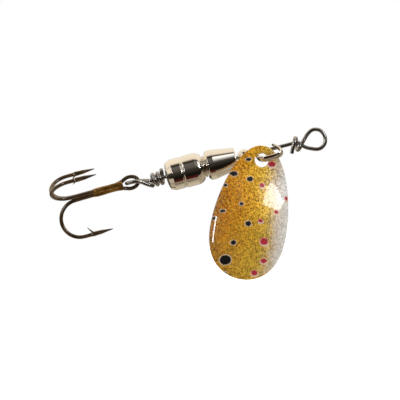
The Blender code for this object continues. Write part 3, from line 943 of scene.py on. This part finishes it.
def build_braze(look):
    """The brazing: a skin round the three strands, which fills the valleys between them, with thin ends."""
    core_r = 0.60
    end_skin = 0.02
    more_skin = 0.11
    bump_height = 0.035
    sides = 96
    angles = np.arange(sides) * 2 * math.pi / sides
    toward = np.column_stack([np.cos(angles), np.sin(angles)])
    rings = []
    stations = np.linspace(BRAZE_FROM - 0.25, BRAZE_TO, 72)
    for back in stations:
        ends = min(back - stations[0], stations[-1] - back)
        skin = end_skin + more_skin * smooth_step(ends / 0.7)
        reach = np.full(sides, core_r + skin)
        for centre in strand_centres(back):
            near = toward @ centre
            off = centre @ centre - near**2
            inside = np.clip((HOOK_R + skin) ** 2 - off, 0, None)
            circle = np.where((HOOK_R + skin) ** 2 > off, near + np.sqrt(inside), 0)
            reach = np.maximum(reach, circle)
        rings.append(reach)
    reach = np.array(rings)
    for _ in range(6):
        reach = (np.roll(reach, 1, axis=1) + 2 * reach + np.roll(reach, -1, axis=1)) / 4
    for k, back in enumerate(stations):
        for s in range(sides):
            bump = noise.noise(Vector((back * 1.6, 2.2 * toward[s][0], 2.2 * toward[s][1])))
            reach[k, s] += bump_height * bump
    closing = np.array((0.15, 0.6, 0.9))
    reach = np.vstack([reach[:1] * closing[:, None], reach, reach[-1:] * closing[::-1, None]])
    ease = np.array((-0.06, -0.05, -0.025))
    stations = np.concatenate([stations[0] + ease, stations, stations[-1] - ease[::-1]])
    backs = np.broadcast_to(stations[:, None, None], (*reach.shape, 1))
    places = np.concatenate([backs, reach[..., None] * toward[None]], axis=-1)
    points = treble_space(places.reshape(-1, 3))
    last = (len(stations) - 1) * sides
    caps = [tuple(range(sides)), tuple(reversed(range(last, last + sides)))]
    faces = [tuple(reversed(face)) for face in grid_faces(len(stations), sides)] + caps
    flow = places.reshape(-1, 3)
    finish_piece(mesh_object("shank_brazing", (points, faces, flow), [look]), "shank_braze")


# ---------------------------------------------------------------- studio


def window(tree, side, tilt, across, up):
    """A soft-edged window of the tent. across and up are where it starts, is full, stays full and ends."""
    wide = product(tree, edge(tree, side, across[0], across[1]), edge(tree, side, across[3], across[2]))
    high = product(tree, edge(tree, tilt, up[0], up[1]), edge(tree, tilt, up[3], up[2]))
    return product(tree, wide, high)


def build_world():
    """A light tent: a cream diffuser overhead, a dark room in front by the camera, and a warm table."""
    world = bpy.data.worlds.new("tent")
    bpy.context.scene.world = world
    world.use_nodes = True
    tree = world.node_tree
    tree.nodes.clear()
    direction = node(tree, "ShaderNodeTexCoord").outputs["Generated"]
    parts = node(tree, "ShaderNodeSeparateXYZ", {"Vector": direction}).outputs
    front = product(tree, parts["Y"], -1.0)
    tilt = maths(tree, "DEGREES", maths(tree, "ARCTAN2", parts["Z"], front))
    stops = (
        (-180.0, (0.10, 0.08, 0.06)),
        (-168.0, (0.14, 0.11, 0.08)),
        (-150.0, (0.60, 0.52, 0.40)),
        (-112.0, (0.56, 0.48, 0.36)),
        (-94.0, (0.44, 0.38, 0.28)),
        (-86.0, (0.28, 0.23, 0.165)),
        (-80.0, (0.17, 0.135, 0.095)),
        (-75.0, (0.20, 0.16, 0.11)),
        (-69.0, (0.36, 0.30, 0.22)),
        (-63.0, (0.12, 0.08, 0.05)),
        (-60.0, (0.075, 0.010, 0.010)),
        (-46.0, (0.055, 0.007, 0.007)),
        (-41.0, (0.010, 0.007, 0.005)),
        (-26.0, (0.010, 0.008, 0.005)),
        (-14.0, (0.022, 0.018, 0.013)),
        (-5.0, (0.034, 0.029, 0.022)),
        (3.0, (0.032, 0.027, 0.020)),
        (9.0, (0.060, 0.052, 0.044)),
        (17.0, (0.092, 0.082, 0.071)),
        (46.0, (0.135, 0.122, 0.108)),
        (53.0, (0.080, 0.070, 0.060)),
        (60.0, (0.030, 0.025, 0.020)),
        (67.0, (0.034, 0.028, 0.022)),
        (74.0, (0.30, 0.26, 0.20)),
        (79.0, (0.72, 0.63, 0.50)),
        (86.0, (0.92, 0.80, 0.64)),
        (123.0, (0.98, 0.87, 0.71)),
        (160.0, (0.92, 0.84, 0.72)),
        (172.0, (0.40, 0.35, 0.29)),
        (180.0, (0.12, 0.10, 0.08)),
    )
    tent = ramp(tree, tilt, stops)

    # To the sides: two glows on the right and one on the left, a pale far left, and dark low down behind.
    side = parts["X"]
    cone_glow = window(tree, side, tilt, (0.24, 0.28, 0.36, 0.40), (12.0, 54.0, 58.0, 62.0))
    right_glow = window(tree, side, tilt, (0.56, 0.62, 0.88, 0.94), (16.0, 24.0, 60.0, 66.0))
    left_glow = window(tree, side, tilt, (-0.28, -0.34, -0.54, -0.62), (32.0, 40.0, 64.0, 68.0))
    glow = maths(tree, "MAXIMUM", maths(tree, "MAXIMUM", cone_glow, right_glow), left_glow)
    far_left = edge(tree, side, -0.56, -0.66)
    tent = mixed(tree, product(tree, far_left, edge(tree, tilt, 14.0, 26.0)), tent, (0.88, 0.79, 0.65))
    tent = mixed(tree, product(tree, far_left, edge(tree, tilt, -28.0, -40.0)), tent, (0.50, 0.43, 0.33))
    tent = mixed(tree, glow, tent, (1.25, 1.24, 1.22))
    under_stops = (
        (-180.0, (0.10, 0.08, 0.06)),
        (-160.0, (0.16, 0.13, 0.10)),
        (-140.0, (0.42, 0.35, 0.25)),
        (-98.0, (0.38, 0.32, 0.23)),
        (-88.0, (0.12, 0.09, 0.06)),
        (-78.0, (0.10, 0.075, 0.05)),
        (-71.0, (0.36, 0.31, 0.24)),
        (-62.0, (0.33, 0.28, 0.21)),
        (-56.0, (0.04, 0.02, 0.015)),
        (-50.0, (0.010, 0.007, 0.005)),
        (-40.0, (0.010, 0.007, 0.005)),
    )
    under = ramp(tree, tilt, under_stops)
    below = product(tree, edge(tree, side, 0.10, 0.18), edge(tree, tilt, -39.0, -41.0))
    tent = mixed(tree, below, tent, under)
    low = product(tree, edge(tree, side, -0.30, -0.45), edge(tree, tilt, -108.0, -122.0))
    tent = mixed(tree, low, tent, (0.05, 0.04, 0.03))
    tent_light = node(tree, "ShaderNodeBackground", {"Color": tent, "Strength": 1.0})
    backdrop = node(tree, "ShaderNodeBackground", {"Color": (1.0, 1.0, 1.0, 1.0), "Strength": 1.0})
    seen = node(tree, "ShaderNodeLightPath").outputs["Is Camera Ray"]
    both = node(tree, "ShaderNodeMixShader", {0: seen, 1: tent_light.outputs[0], 2: backdrop.outputs[0]})
    node(tree, "ShaderNodeOutputWorld", {"Surface": both.outputs[0]})


def add_softbox(name, azimuth, elevation, distance, size, radiance, lean=0.0, seen=True):
    """A rectangular lamp that faces the lure. Azimuth 0 is towards -Y and 90 towards +X, in degrees.

    lean turns it about its own middle, and seen says whether it shows in reflections.
    """
    centre = np.array((-20.0, -1.0, -3.0)) * MM
    a, e = math.radians(azimuth), math.radians(elevation)
    away = np.array((math.sin(a) * math.cos(e), -math.cos(a) * math.cos(e), math.sin(e)))
    lamp = bpy.data.lights.new(name, "AREA")
    lamp.shape = "RECTANGLE"
    lamp.size, lamp.size_y = size
    lamp.energy = radiance * math.pi * size[0] * size[1]
    obj = bpy.data.objects.new(name, lamp)
    obj.location = centre + away * distance
    obj.rotation_mode = "QUATERNION"
    leaning = Quaternion((0.0, 0.0, 1.0), math.radians(lean))
    obj.rotation_quaternion = Vector(away).to_track_quat("Z", "Y") @ leaning
    obj.visible_glossy = seen
    bpy.context.scene.collection.objects.link(obj)


def build_floor():
    """A plain pale floor, under the lowest that the swinging blade and hooks reach."""
    look, tree, shader = new_look("floor")
    paper = noise_value(tree, place_vector(tree), 0.05, 3.0)
    base = mixed(tree, paper, (0.90, 0.90, 0.895), (0.93, 0.93, 0.925))
    plug(tree, shader, Base_Color=base, Roughness=0.9, Emission_Color=(1.0, 1.0, 1.0), Emission_Strength=0.7)
    half = 900.0
    height = -34.0
    corners = [(-half, -half, height), (half, -half, height), (half, half, height), (-half, half, height)]
    floor = mesh_object("floor", (corners, [(0, 1, 2, 3)], corners), [look])
    floor.visible_glossy = False


def build_camera():
    """Looks along +Y, rolled so that the shaft rises to the right."""
    target = np.array((-26.36, 0.0, -6.5))
    shown_width = 83.33
    camera = bpy.data.cameras.new("camera")
    camera.lens = 200.0
    camera.sensor_width = 36.0
    camera.clip_start = 0.02
    camera.clip_end = 10.0
    distance = shown_width * camera.lens / camera.sensor_width
    obj = bpy.data.objects.new("camera", camera)
    right = Vector((math.cos(CAMERA_ROLL), 0.0, -math.sin(CAMERA_ROLL)))
    up = Vector((math.sin(CAMERA_ROLL), 0.0, math.cos(CAMERA_ROLL)))
    back = right.cross(up)
    turned = Matrix((right, up, back)).transposed().to_4x4()
    place = Vector((target * MM).tolist()) + back * distance * MM
    obj.matrix_world = Matrix.Translation(place) @ turned
    bpy.context.scene.collection.objects.link(obj)
    bpy.context.scene.camera = obj


turned_nickel = nickel_look("turned_nickel", (14.0, 14.0, 0.3))
wire_nickel = nickel_look("wire_nickel", (0.5, 8.0, 8.0))
plate_nickel = nickel_look("plate_nickel", (0.6, 9.0, 1.0))
bronze = bronze_look()
build_shaft(wire_look())
build_body(turned_nickel)
build_neck(turned_nickel)
build_cone(turned_nickel)
build_bead(turned_nickel)
build_clevis(wire_nickel)
build_blade(paint_look(), plate_nickel)
build_double_hook(bronze)
build_single_hook(bronze)
build_braze(braze_look())

build_world()
add_softbox("right_window", 54.6, 7.2, 0.60, (0.052, 0.30), 11.0, lean=55.0)
add_softbox("right_fill", 55.0, 35.0, 0.60, (0.40, 0.30), 3.5, seen=False)
add_softbox("left_strip", -27.0, 15.0, 0.60, (0.024, 0.20), 22.0)
build_floor()
build_camera()
bpy.context.scene.view_settings.view_transform = "Standard"
